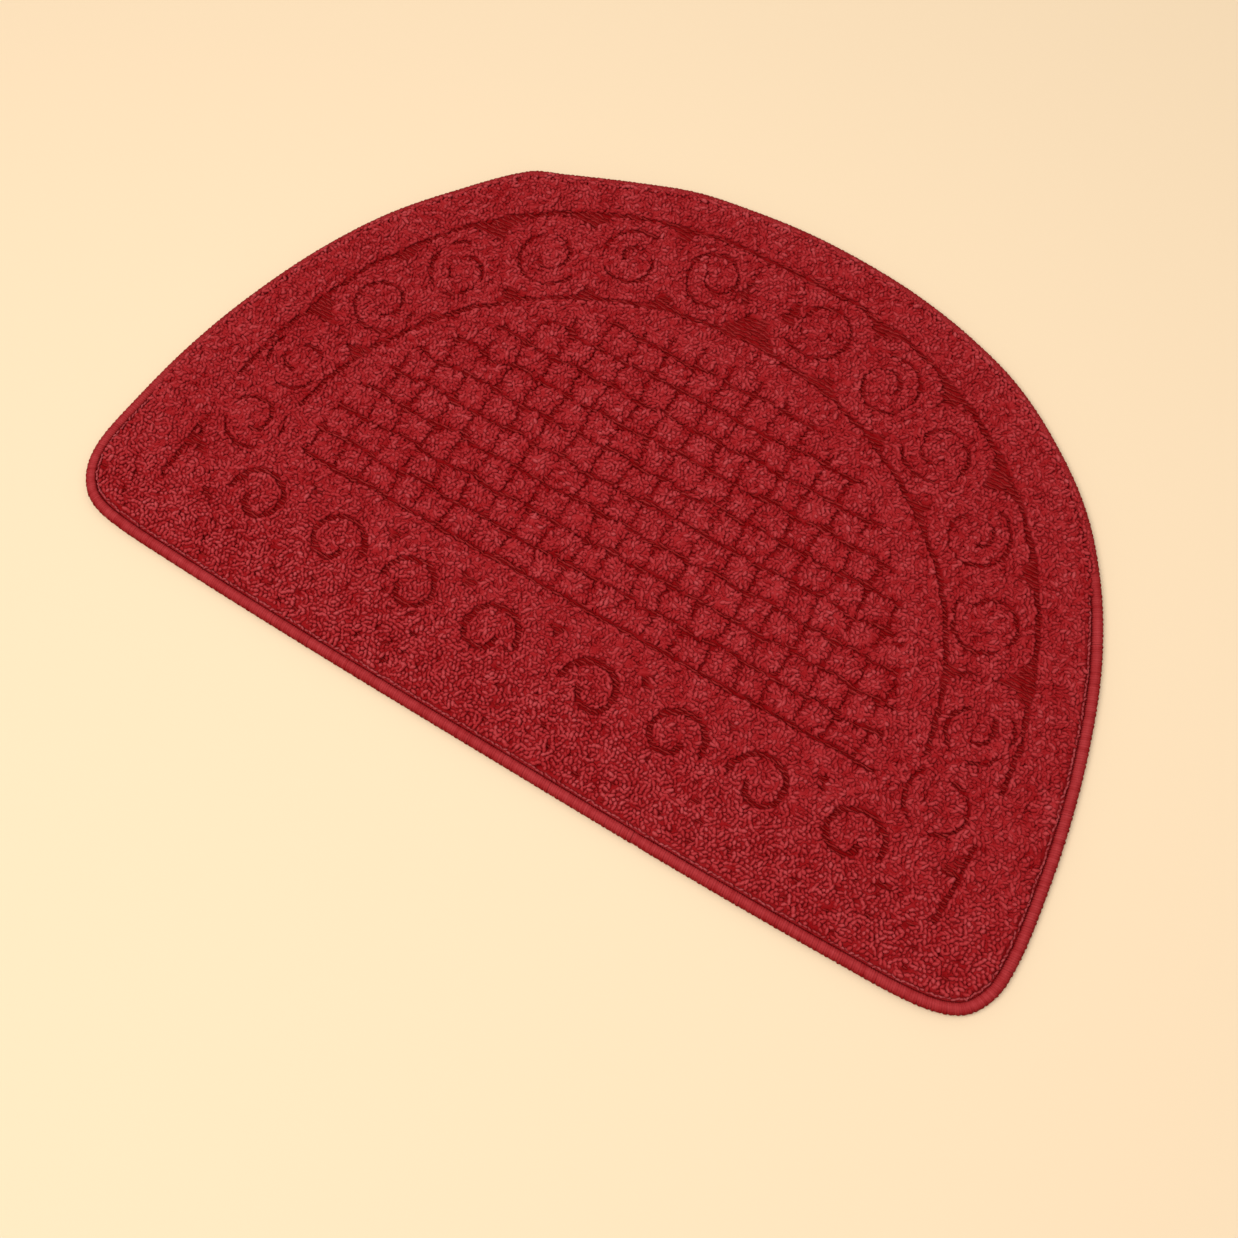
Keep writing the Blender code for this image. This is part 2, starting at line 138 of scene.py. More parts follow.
# The numbers of each length of yarn, in the order that they are drawn in. A number is one for all, or is
# drawn by a middle and a spread, or by a range. A loop's width and height and a thread's width are shares.
LOOPS = {
    "top": ("normal", 0, 0.2), "curl": ("uniform", -0.6, 0.6), "drop": ("uniform", 0.1, 0.5),
    "tilt": ("normal", 0, 0.12), "wide": ("uniform", 0.8, 1.12), "tall": ("uniform", 0.9, 1.1),
    "tone": ("random",),
}
# A low row's and a stitch's level is painted light at its top, and its fall is painted shade down its
# sides.
LOW_ROWS = {
    "top": ("normal", 0, 0.2), "turn": ("normal", 0, 0.15), "half": ("uniform", 1.9, 2.3),
    "curl": ("uniform", -0.4, 0.4), "drop": ("uniform", 0.1, 0.3), "tilt": ("normal", 0, 0.08),
    "wide": 0.85, "tall": 0.8, "tone": ("random",), "level": 0.75, "fall": 0.9,
}
STITCHES = {
    "turn": ("normal", 0, 0.3), "top": ("normal", 0, 0.15), "half": 1.3, "curl": ("uniform", -0.6, 0.6),
    "drop": 0.35, "tilt": ("normal", 0, 0.15), "wide": 0.65, "tall": 0.45, "tone": ("random",),
    "level": 0.9, "fall": 0.6,
}
THREADS = {
    "proud": ("normal", 0, 0.03), "lead": ("normal", 0, 0.06), "wide": ("uniform", 0.9, 1.1),
    "tone": ("uniform", 0.2, 0.8),
}

# Some loops head across a cobble's gap, others along a groove or the rim. Most are pushed off its middle.
CROSSING_NEAR, CROSSING_ANYWHERE = 0.45, 0.25
GROOVE_BARE, GROOVE_CLEAR, REACH_SHARE, PUSH_MOST = 0.2, 0.2, 0.85, 1.8
RIM_ROW = 6.0

# The top of the pile: clumps, creases and long swells, domes over the cobbles, shoulders beside the other
# grooves, and a rim that is rounder where the binding is bare.
CLUMP_LENGTH, CLUMP_RISE_LOOSE, CLUMP_RISE_MATTED = 6.0, 0.36, 0.35
CREASE_LENGTH, CREASE_HALF, CREASE_DROP_LOOSE, CREASE_DROP_MATTED = 10.0, 0.3, 0.3, 0.95
SWELL_LENGTH, SWELL_RISE, SETTLED_BY = 23.0, 0.25, 0.1
SHOULDER_REACH, SHOULDER_DROP = 3.4, 1.3
DOME_REACH, DOME_DROP = 6.5, 2.0
RIM_ROUND_FROM, RIM_ROUND_REACH = 12.6, 8.4
RIM_DROP, RIM_DROP_MORE_BARE = 1.0, 1.6

# Painted shade by height: yarn is painted at its darkest at the first height and below, and fully lit at
# the second. The bed is in the loops' shade, so its painted shade is set by itself.
SHADE_FULL_HEIGHT, SHADE_FREE_HEIGHT = 6.0, 9.7
BED_RISE_LOOSE, BED_RISE_MATTED, BED_RISE_SEAM, BED_RISE_PIT = 0.24, 0.5, 0.3, 0.08
# Painted shade down a loop's sides, loose and matted, and painted light added where the pile is loose. Yarn
# is lighter along the rim where the pile leans over the binding. Loops share a random tone in clumps.
SIDE_SHADE_LOOSE, SIDE_SHADE_MATTED, LOOSE_PALER = 0.72, 0.42, 0.14
RIM_PALER, RIM_PALER_FROM, RIM_PALER_BLEND = 0.36, 9.5, 4.0
TONE_CLUMP, TONE_SWING, TONE_SHARED = 7.0, 0.65, 0.6

# Flat rows of yarn where the pile is low.
LOW_ROW_PITCH, LOW_PITCH = 2.65, 3.5
LOW_REACH, PIT_FULL_DEPTH = 1.1, 3.0
LOW_SWAY, LOW_SWAY_LENGTH, LOW_SHAKE = 0.5, 21.0, (0.4, 0.15)

# Where the pile starts, inwards from the outline: beside the binding, or over it where it leans out.
PILE_START_BARE, PILE_START_OVER = 9.2, 3.0
MATTED_FROM_Y, MATTED_BLEND = -128.0, 50.0
BARE_RIGHT_Y, BARE_LEFT_Y, BARE_BLEND = 62.0, -95.0, 28.0

# The binding: a C round the carpet's edge, and the threads wound over it.
BINDING_CORE = [
    (0.4, 2.0), (0.3, 3.9), (1.2, 5.2), (3.2, 5.7), (5.2, 5.4), (6.2, 4.9), (6.2, 4.5),
    (2.4, 4.5), (2.4, 1.5), (5.2, 1.5), (5.2, 0.3), (1.3, 0.3),
]
BINDING_STEP = 4.0
WRAP_PITCH = 1.35
WRAP_ARC = [
    (6.5, 4.8), (5.3, 5.7), (3.5, 6.0), (1.7, 5.7), (0.6, 4.8),
    (0.15, 3.4), (0.3, 2.0), (0.9, 0.9), (2.0, 0.45),
]
WRAP_WIDE, WRAP_TALL, WRAP_SLANT, WRAP_SIDES = 1.0, 0.32, 0.9, 5
SCALLOP_PITCH, SCALLOP_DEPTH = 3.3, 0.45
LAP_X, LAP_LENGTH, LAP_SWELL, LAP_BELOW_Y = 97.0, 9.0, 0.5, -150.0

# The binding's painted light and shade: a painted highlight over the top of a thread's arc and painted
# shade round its outside, painted shade in a scallop and where the pile hides it, and its body's even
# painted level.
WRAP_RISE = [0.3, 0.65, 0.9, 0.6, 0.3, 0.15, 0.1, 0.1, 0.1]
WRAP_SHADE, SCALLOP_SHADE = 0.75, 0.35
CORE_RISE = 0.6

# The chain of stitches beside the binding.
STITCH_PITCH, STITCH_SIDES = 2.7, 5
STITCH_INWARDS, STITCH_INWARDS_SPREAD, STITCH_TOP = 7.8, 0.22, 6.8

# What makes a point of yarn lighter, each by its weight, and what is taken off their sum. The first weighs
# its rise, which is painted light and shade.
PAINTED_SHADE_WEIGHT, TONE_WEIGHT, FIBRE_WEIGHT, BLOTCH_WEIGHT, SPOT_WEIGHT = 0.75, 0.34, 0.34, 0.3, 0.35
LIGHTER_LESS = 0.64

# The backing's threads, as radians to a metre: the wefts' and the warps'.
WEFT_WAVES, WARP_WAVES = 2244.0, 1740.0

# Finishes, as linear colours. Each yarn's darkest colour is painted shade, the colour of its most shaded
# parts, and the pale pink first is a painted highlight that the lightest yarn pales towards.
YARN_HIGHLIGHT = (0.42, 0.125, 0.130, 1.0)
YARN_LIT = (0.44, 0.025, 0.030, 1.0)
YARN_SHADED = (0.20, 0.001, 0.002, 1.0)
LOW_LIT = (0.32, 0.020, 0.020, 1.0)
LOW_SHADED = (0.16, 0.001, 0.001, 1.0)
BACKING_DARK = (0.09, 0.002, 0.003, 1.0)
BACKING_PALE = (0.24, 0.006, 0.008, 1.0)
BINDING_RED = (0.41, 0.036, 0.040, 1.0)
BINDING_SHADED = (0.20, 0.002, 0.003, 1.0)
STITCH_PINK = (0.40, 0.065, 0.070, 1.0)
FLOOR_CREAM = (0.79, 0.62, 0.42, 1.0)
FLOOR_HALF, FLOOR_BELOW = 3.0, -0.15

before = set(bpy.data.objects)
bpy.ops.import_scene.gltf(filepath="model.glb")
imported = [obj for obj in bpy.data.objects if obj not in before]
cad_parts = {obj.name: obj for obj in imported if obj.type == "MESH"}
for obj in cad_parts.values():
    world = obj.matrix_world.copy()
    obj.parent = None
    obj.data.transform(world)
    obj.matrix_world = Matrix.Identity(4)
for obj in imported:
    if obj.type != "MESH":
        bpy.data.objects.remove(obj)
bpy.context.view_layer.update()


class Value:
    """A socket that can be written in a sum: each operator adds the Math node for it."""

    def __init__(self, paint, socket):
        self.paint = paint
        self.socket = socket

    def math(self, operation, first, second):
        return self.paint.node("ShaderNodeMath", {0: first, 1: second}, operation=operation)

    def __add__(self, other):
        return self.math("ADD", self, other)

    def __mul__(self, other):
        return self.math("MULTIPLY", self, other)

    def __sub__(self, other):
        return self.math("SUBTRACT", self, other)

    def __pow__(self, other):
        return self.math("POWER", self, other)


class Paint:
    """One material: its shader's constants, and the one way that nodes are added to it."""

    def __init__(self, name, **constants):
        self.material = bpy.data.materials.new(name)
        self.material.use_nodes = True
        self.tree = self.material.node_tree
        self.shader = self.tree.nodes["Principled BSDF"]
        for label, constant in constants.items():
            self.shader.inputs[label.replace("_", " ")].default_value = constant

    def node(self, kind, sockets, output=0, **settings):
        """A node of a type, with its settings made first and its sockets filled or linked after."""
        node = self.tree.nodes.new(kind)
        for label, setting in settings.items():
            setattr(node, label, setting)
        for label, filling in sockets.items():
            self.fill(node.inputs[label], filling)
        return Value(self, node.outputs[output])

    def fill(self, socket, filling):
        if isinstance(filling, Value):
            self.tree.links.new(filling.socket, socket)
        else:
            socket.default_value = filling

    def own(self, name):
        """The piece's own number at each point."""
        return self.node("ShaderNodeAttribute", {}, "Fac", attribute_name=name)

    def place(self):
        """The point's place in metres."""
        return self.node("ShaderNodeTexCoord", {}, "Object")

    def noise(self, scale, detail):
        """Noise on Object coordinates, between 0 and 1, with so many blotches to a metre."""
        return self.node("ShaderNodeTexNoise", {"Vector": self.place(), "Scale": scale, "Detail": detail})

    def mix(self, share, first, second):
        """The first colour where the share is 0, the second where it is 1."""
        return self.node("ShaderNodeMix", {0: share, 6: first, 7: second}, 2, data_type="RGBA")

    def clamp(self, value):
        return self.node("ShaderNodeClamp", {"Value": value})

    def bump(self, height, strength, distance):
        sockets = {"Height": height, "Strength": strength, "Distance": distance}
        self.fill(self.shader.inputs["Normal"], self.node("ShaderNodeBump", sockets))

    def colour(self, value):
        self.fill(self.shader.inputs["Base Color"], value)


def yarn_paint(name, root, crest, roughness, highlight_share):
    """Yarn, painted darker towards its root where shade falls, each loop a little lighter or darker, with a
    fuzz of fibres.

    Its lightness is the sum of its weighted rise, which is painted light and shade, tone, fibres and
    blotches, held between 0 and 1. Its colour goes from root to crest by the lightness, from its painted
    shade colour to its lit colour, and pales towards a painted highlight by its cube times the highlight
    share.
    """
    paint = Paint(name, Roughness=roughness, Specular_IOR_Level=0.06)
    fibres = paint.noise(scale=1500.0, detail=3.0)
    blotches, spots = paint.noise(scale=70.0, detail=2.0), paint.noise(scale=260.0, detail=1.0)
    blotches = blotches * BLOTCH_WEIGHT + spots * SPOT_WEIGHT
    # The rise is painted light and shade.
    lighter = paint.own("rise") * PAINTED_SHADE_WEIGHT + paint.own("tone") * TONE_WEIGHT + fibres * FIBRE_WEIGHT
    lighter = paint.clamp(lighter + blotches - LIGHTER_LESS)
    # Painted highlight: the lightest points pale towards a pale pink.
    paint.colour(paint.mix(lighter**3.0 * highlight_share, paint.mix(lighter, root, crest), YARN_HIGHLIGHT))
    paint.bump(fibres + paint.noise(scale=600.0, detail=2.0), strength=0.4, distance=0.0006)
    return paint.material


def backing_paint():
    """The underside: a plain woven backing, the sines of wefts along x and of warps across, multiplied."""
    paint = Paint("backing", Roughness=0.95, Specular_IOR_Level=0.2)
    threads = []
    for output, waves in ((1, WEFT_WAVES), (0, WARP_WAVES)):
        across = paint.node("ShaderNodeSeparateXYZ", {0: paint.place()}, output)
        threads.append(paint.node("ShaderNodeMath", {0: across * waves}, operation="SINE"))
    weave = threads[0] * threads[1] * 0.5 + 0.5
    shade = paint.clamp(weave * 0.6 + paint.noise(scale=240.0, detail=3.0) * 0.6 - 0.1)
    paint.colour(paint.mix(shade, BACKING_DARK, BACKING_PALE))
    paint.bump(weave + paint.noise(scale=900.0, detail=2.0) * 0.4, strength=0.6, distance=0.0005)
    return paint.material


def floor_paint():
    """A plain pale floor, very slightly uneven in tone."""
    paint = Paint("floor", Roughness=0.9, Specular_IOR_Level=0.1)
    shaded = tuple(0.97 * c for c in FLOOR_CREAM[:3]) + (1.0,)
    paint.colour(paint.mix(paint.noise(scale=1.4, detail=1.0) * 0.5, FLOOR_CREAM, shaded))
    return paint.material


def smooth_loop(points, per_span=24):
    """A closed Catmull-Rom curve: a cubic through each point, heading from one neighbour to the other."""
    p = np.asarray(points, float)
    before, after, beyond = np.roll(p, 1, 0), np.roll(p, -1, 0), np.roll(p, -2, 0)
    t = (np.arange(per_span) / per_span)[None, :, None]
    reach = np.linalg.norm(after - p, axis=1)[:, None, None]
    behind = np.linalg.norm(p - before, axis=1)[:, None, None]
    ahead = np.linalg.norm(beyond - after, axis=1)[:, None, None]
    leave = (after - before)[:, None] * reach / (reach + behind)
    arrive = (beyond - p)[:, None] * reach / (reach + ahead)
    curve = (
        (2 * t**3 - 3 * t**2 + 1) * p[:, None] + (t**3 - 2 * t**2 + t) * leave
        + (3 * t**2 - 2 * t**3) * after[:, None] + (t**3 - t**2) * arrive
    )
    return curve.reshape(-1, 2)


def along(points, step, closed=False):
    """Points spaced evenly, about a step apart, along a line through the given points."""
    line = np.asarray(points, float)
    if closed:
        line = np.vstack([line, line[:1]])
    run = np.concatenate([[0.0], np.cumsum(np.linalg.norm(np.diff(line, axis=0), axis=1))])
    count = max(int(round(run[-1] / step)), 1)
    places = np.linspace(0.0, run[-1], count + 1)
    if closed:
        places = places[:-1]
    return np.column_stack([np.interp(places, run, line[:, k]) for k in (0, 1)])


def outline_at(step):
    """Places on the mat's outline a step apart, anticlockwise, and the direction inwards at each."""
    fine = along(smooth_loop(OUTLINE), 1.0, closed=True)
    middle = (fine.max(axis=0) + fine.min(axis=0)) / 2
    places = along(fine - middle, step, closed=True)
    spread = max(int(round(4.0 / step)), 1)
    heading = np.roll(places, -spread, 0) - np.roll(places, spread, 0)
    heading /= np.linalg.norm(heading, axis=1, keepdims=True)
    return places, np.column_stack([-heading[:, 1], heading[:, 0]])


def spiral(centre, outer, inner, turns, way, start):
    """A groove that winds at a steady rate, its radius easing from the outer one to the inner one."""
    share = np.linspace(0.0, 1.0, SPIRAL_POINTS)
    radius = outer + (inner - outer) * share**SPIRAL_EASE
    angle = start + way * 2 * math.pi * turns * share
    return np.column_stack([centre[0] + radius * np.cos(angle), centre[1] + radius * np.sin(angle)])


def half_oval(shape):
    """One side of a band's line, from the top of the arc down to the band's end: a superellipse."""
    y = np.linspace(shape["foot_y"] + shape["height"], BAND_END_Y, num=160)
    rise = held((y - shape["foot_y"]) / shape["height"])
    x = shape["half_width"] * (1.0 - rise ** shape["power"]) ** (1.0 / shape["power"])
    return np.column_stack([x, y])


def mirrored(line):
    """A line given from the axis, in its place on the right and on the left."""
    line = np.asarray(line, float)
    return [line * [1, 1] + [AXIS_X, 0], line * [-1, 1] + [AXIS_X, 0]]


def bound_lines():
    """The grooves that bound the scroll band, the corners' short ones, and that at the cobbles' foot."""
    lines = mirrored(half_oval(BAND_OUTER)) + mirrored(half_oval(BAND_INNER)) + mirrored(CORNER_LINE)
    lines.append([(FIELD_LINE[0], FIRST_GROOVE_Y), (FIELD_LINE[1], FIRST_GROOVE_Y)])
    return [along(line, LINE_STEP) for line in lines]


def scroll_lines():
    """The grooves of the round scrolls."""
    lines = []
    for x, y, way in SCROLLS:
        inwards = math.atan2(SCROLL_FACES_Y - y, -x)
        start = inwards - START_BEFORE_INWARDS if way > 0 else inwards + math.pi + START_PAST_OUTWARDS
        lines += mirrored(spiral((x, y), SCROLL_OUTER, SCROLL_INNER, SCROLL_TURNS, way, start))
    return [along(line, LINE_STEP) for line in lines]


def curl_lines():
    """The grooves of the curl band."""
    lines = []
    for x, y, way in CURLS:
        start = math.pi if way < 0 else 0.0
        lines += mirrored(spiral((x, y), CURL_OUTER, CURL_INNER, CURL_TURNS, way, start))
    return [along(line, CURL_STEP) for line in lines]


def nearest(points, lines):
    """The distance from each point to the nearest place on any line, up to far, and the way from it.

    On each span of a line that place is the foot of the perpendicular, held between the span's ends.
    """
    best = np.full(len(points), FAR)
    away = np.zeros((len(points), 2))
    for line in lines:
        close = ((points > line.min(axis=0) - FAR) & (points < line.max(axis=0) + FAR)).all(axis=1)
        chosen = np.flatnonzero(close)
        for start, end in zip(line[:-1], line[1:]):
            step = end - start
            share = held(((points[chosen] - start) @ step) / (step @ step))
            apart = points[chosen] - start - share[:, None] * step
            distance = np.hypot(apart[:, 0], apart[:, 1])
            nearer = distance < best[chosen]
            best[chosen[nearer]] = distance[nearer]
            away[chosen[nearer]] = apart[nearer]
    return best, unit(away)


def unit(ways):
    """The same directions, each of length 1."""
    return ways / np.maximum(np.hypot(ways[:, 0], ways[:, 1]), 1e-6)[:, None]


def cobble_gap(points):
    """The distance from each point to the gap round its cobble, and the way that leads from the gap.

    A place in a cobble's cell is (a, b), both from -1 to 1. The cobble's size at that place is a
    superellipse's, the root of |a| and |b| raised to its power, and the gap is where that is 1.
    """
    cell = (points - [FIRST_GROOVE_X, FIRST_GROOVE_Y]) / [COBBLE_X, COBBLE_Y]
    ab = ((cell % 1.0) * 2.0 - 1.0) * [COLUMN_SHARE, 1.0]
    size = (np.abs(ab) ** COBBLE_POWER).sum(axis=1) ** (1.0 / COBBLE_POWER)
    gap = np.where(in_field(points), COBBLE_HALF * (1.0 - size), FAR)
    return np.maximum(gap, 0.0), unit(-ab * np.abs(ab) ** (COBBLE_POWER - 2.0))


def inside(points, edge):
    """The distance inwards from the outline and the way inwards there, by its nearest station."""
    places, inwards = edge
    found = np.empty(len(points), int)
    for part in np.array_split(np.arange(len(points)), max(len(points) // 2000, 1)):
        apart = points[part][:, None] - places[None]
        found[part] = np.argmin((apart**2).sum(axis=2), axis=1)
    depth = ((points - places[found]) * inwards[found]).sum(axis=1)
    return depth, inwards[found]


def oval_share(shape, x, y):
    """Below 1 inside the superellipse, 1 on it, and above 1 outside."""
    wide = np.abs(x) / shape["half_width"]
    high = np.maximum(y - shape["foot_y"], 0.0) / shape["height"]
    return wide ** shape["power"] + high ** shape["power"]


def triangle_depth(x, y, corners):
    """How far inside a triangle each point is, negative outside: the least distance to a side's line."""
    centre = np.mean(corners, axis=0)
    depth = np.full(len(x), np.inf)
    for start, end in zip(corners, corners[1:] + corners[:1]):
        normal = np.array([start[1] - end[1], end[0] - start[0]], float)
        normal /= np.linalg.norm(normal)
        if (centre - start) @ normal < 0:
            normal = -normal
        depth = np.minimum(depth, (x - start[0]) * normal[0] + (y - start[1]) * normal[1])
    return depth


def in_scroll_band(x, y):
    """True between the two ovals, above the band's end."""
    between = (oval_share(BAND_OUTER, x, y) < 1.0) & (oval_share(BAND_INNER, x, y) > 1.0)
    return between & (y > BAND_END_Y)


def pit_depth(points):
    """How far inside a pit each point is: what the scrolls' discs leave of their band, or a triangle."""
    x, y = np.abs(points[:, 0] - AXIS_X), points[:, 1]
    clear = np.full(len(points), np.inf)
    for scroll in SCROLLS:
        clear = np.minimum(clear, np.hypot(x - scroll[0], y - scroll[1]) - SCROLL_DISC)
    stem = (x < STEM_HALF) & (y > STEM_FOOT_Y)
    depth = np.where(in_scroll_band(x, y) & ~stem, clear, -FAR)
    for corners in PITS:
        depth = np.maximum(depth, triangle_depth(x, y, list(corners)))
    return depth


def in_field(points):
    """True where the cobbles are."""
    fx = (points[:, 0] - FIELD_CENTRE_X) / FIELD_HALF_WIDTH
    fy = (points[:, 1] - FIRST_GROOVE_Y) / FIELD_HEIGHT
    return (fy > 0) & (fx**2 + fy**2 < 1.0)


def wander(points, length, seed):
    """A smooth unevenness between about -1 and 1: a sum of waves of one length in many directions."""
    draw = np.random.default_rng(seed)
    turn, phase = draw.uniform(0, 2 * math.pi, (2, 7))
    waves = points[:, :1] * np.cos(turn) + points[:, 1:2] * np.sin(turn)
    return np.sin(waves * 2 * math.pi / length + phase).sum(axis=1) / 2.6


def matted_share(places):
    """1 where use has matted the pile, 0 along the straight edge, where its loops still stand apart."""
    return held((places[:, 1] - MATTED_FROM_Y) / MATTED_BLEND + 0.5)


def held(share):
    """The share, held between 0 and 1."""
    return np.clip(share, 0.0, 1.0)


def blend(first, second, share):
    """The first number where the share is 0, the second where it is 1."""
    return first + (second - first) * share


def bare_share(places):
    """1 where the binding lies bare beside the pile, 0 where the pile leans out over it."""
    limit = np.where(places[:, 0] > 0, BARE_RIGHT_Y, BARE_LEFT_Y)
    return held((limit - places[:, 1]) / BARE_BLEND + 0.5)


class Ridges:
    """The pile's ridges, which wander like a walnut's folds: a sum of waves of about one length, all ways.

    The sum is nought along the creases. Between two creases it is a ridge, above or below nought.
    """

    def __init__(self, seed):
        draw = np.random.default_rng(seed)
        turn = (np.arange(RIDGE_WAYS) + draw.random(RIDGE_WAYS)) * math.pi / RIDGE_WAYS
        number = math.pi / (RIDGE_PITCH * draw.uniform(*RIDGE_SPREAD, RIDGE_WAYS))
        self.waves = number[:, None] * np.column_stack([np.cos(turn), np.sin(turn)])
        self.phase = draw.uniform(0, 2 * math.pi, RIDGE_WAYS)

    def lie(self, points):
        """The step from each point across to the top of its ridge, and the ridge's direction there.

        Across the ridge the sum bends down fastest, which the second derivatives' least eigenvalue tells.
        """
        phase = points @ self.waves.T + self.phase
        cos, sin = np.cos(phase), np.sin(phase)
        side = np.sign(cos.sum(axis=1))
        slope = -(sin @ self.waves) * side[:, None]
        kx, ky = self.waves.T
        xx, xy, yy = (-(cos @ k) * side for k in (kx * kx, kx * ky, ky * ky))
        bend = (xx + yy) / 2 - np.hypot((xx - yy) / 2, xy)
        turn = 0.5 * np.arctan2(2 * xy, xx - yy)
        across = np.column_stack([-np.sin(turn), np.cos(turn)])
        length = np.clip(-(slope * across).sum(axis=1) / np.minimum(bend, -0.5), -CROSS_MOST, CROSS_MOST)
        return across * length[:, None], turn

    def settle(self, rows):
        """Rows of points moved onto the ridges, and the ridges' directions there.

        At each step a point is pushed from the eight round it in the rows, where they are too near, and
        then moved back onto its ridge.
        """
        around = [(i, j) for i in (-1, 0, 1) for j in (-1, 0, 1) if i or j]
        for _step in range(SETTLE_STEPS):
            push = np.zeros_like(rows)
            for shift in around:
                apart = rows - np.roll(rows, shift, axis=(0, 1))
                length = np.linalg.norm(apart, axis=2, keepdims=True)
                push += apart / np.maximum(length, 0.1) * held(LOOP_APART - length)
            points = (rows + SETTLE_PUSH * push).reshape(-1, 2)
            rows = (points + self.lie(points)[0]).reshape(rows.shape)
        return points, self.lie(points)[1]


class Plan:
    """The mat's pattern: its grooves and its outline, and what they say about any place."""

    def __init__(self):
        self.bounds, self.scrolls, self.curls = bound_lines(), scroll_lines(), curl_lines()
        self.edge = outline_at(2.0)
        self.ridges = Ridges(5)

    def read(self, points):
        """At each point: the distance to a groove and the way from it, into a pit, and in from the edge.

        A groove that is wider by an extra is nearer by as much, and one that has closed up is further off.
        The lines wander a little, so they are read at places that are moved by as much.
        """
        sway = np.column_stack([wander(points, SWAY_LENGTH, 21), wander(points, SWAY_LENGTH, 22)])
        shiver = np.column_stack([wander(points, SHIVER_LENGTH, 23), wander(points, SHIVER_LENGTH, 24)])
        bent = points + LINE_WANDER * (sway + SHIVER_SHARE * shiver)
        bent_more = points + COBBLE_WANDER * sway + SHIVER_SHARE * shiver
        scroll_closed = held(wander(points, SCROLL_CLOSED_LENGTH, 25) - 0.1)
        gap_closed = held(wander(points, GAP_CLOSED_LENGTH, 26) - 0.1)
        kinds = (
            (nearest(bent, self.bounds), -BOUND_EXTRA),
            (nearest(bent, self.scrolls), SCROLL_CLOSED * scroll_closed - SCROLL_EXTRA),
            (nearest(bent, self.curls), -CURL_EXTRA),
            (cobble_gap(bent_more), GAP_CLOSED * gap_closed - GAP_EXTRA),
        )
        groove, away = np.full(len(points), FAR), np.zeros((len(points), 2))
        for (distance, way), closer in kinds:
            distance = np.maximum(distance + closer, 0.0)
            away = np.where((distance < groove)[:, None], way, away)
            groove = np.minimum(groove, distance)
        pit = pit_depth(bent)
        pit = pit + PIT_RAGGED * wander(points, RAGGED_LENGTH, 27) * (pit > -2.0)
        parted = wander(points, PARTED_LENGTH, 7) - PARTED_ABOVE - 1.2 * matted_share(points)
        pit = np.maximum(pit, PARTED_STEEP * parted + PIT_LEAN - 0.5)
        depth, inwards = inside(points, self.edge)
        return {
            "groove": groove, "away": away, "pit": pit, "edge": depth,
            "inwards": inwards, "field": in_field(points) * 1.0,
        }


def finish_piece(piece, nodes=()):
    """Every piece rides on the mat, and may stand for a solid, whose part is then hidden."""
    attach(piece, "root")
    if nodes:
        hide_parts(*nodes)
    return piece


def placed(name, data):
    """A new object of the scene."""
    thing = bpy.data.objects.new(name, data)
    bpy.context.scene.collection.objects.link(thing)
    return thing


def new_piece(name, points, faces, material, numbers=None):
    """Whole arrays of points and of three- or four-cornered faces, made one smooth mesh."""
    corners = np.concatenate([f.ravel() for f in faces]).astype(np.int32)
    sizes = np.concatenate([np.full(len(f), f.shape[1]) for f in faces])
    mesh = bpy.data.meshes.new(name)
    mesh.vertices.add(len(points))
    mesh.vertices.foreach_set("co", (np.asarray(points) * MM).astype(np.float32).ravel())
    mesh.loops.add(len(corners))
    mesh.loops.foreach_set("vertex_index", corners)
    mesh.polygons.add(len(sizes))
    mesh.polygons.foreach_set("loop_start", (np.cumsum(sizes) - sizes).astype(np.int32))
    mesh.polygons.foreach_set("use_smooth", np.ones(len(sizes), bool))
    for label, values in (numbers or {}).items():
        mesh.attributes.new(label, "FLOAT", "POINT").data.foreach_set("value", values.astype(np.float32))
    mesh.update(calc_edges=True)
    mesh.materials.append(material)
    return placed(name, mesh)


def capsule_faces(count, rings, sides):
    """Faces of many closed worms: quads between their rings, and a fan of triangles at each tip."""
    one = rings * sides + 2
    ring, side = np.meshgrid(np.arange(rings - 1), np.arange(sides), indexing="ij")
    here, beside = ring * sides + side, ring * sides + (side + 1) % sides
    quads = np.stack([here, beside, beside + sides, here + sides], axis=-1).reshape(-1, 4)
    round_one = np.arange(sides)
    last = (rings - 1) * sides
    tail = np.stack([np.full(sides, one - 2), (round_one + 1) % sides, round_one], axis=-1)
    head = np.stack([np.full(sides, one - 1), last + round_one, last + (round_one + 1) % sides], axis=-1)
    first = (np.arange(count) * one)[:, None, None]
    return [(first + quads[None]).reshape(-1, 4), (first + np.vstack([tail, head])[None]).reshape(-1, 3)]


def drawn(draw, table, count):
    """A table's numbers for so many lengths of yarn."""
    numbers = {}
    for label, value in table.items():
        numbers[label] = getattr(draw, value[0])(*value[1:], count) if isinstance(value, tuple) else value
    return numbers


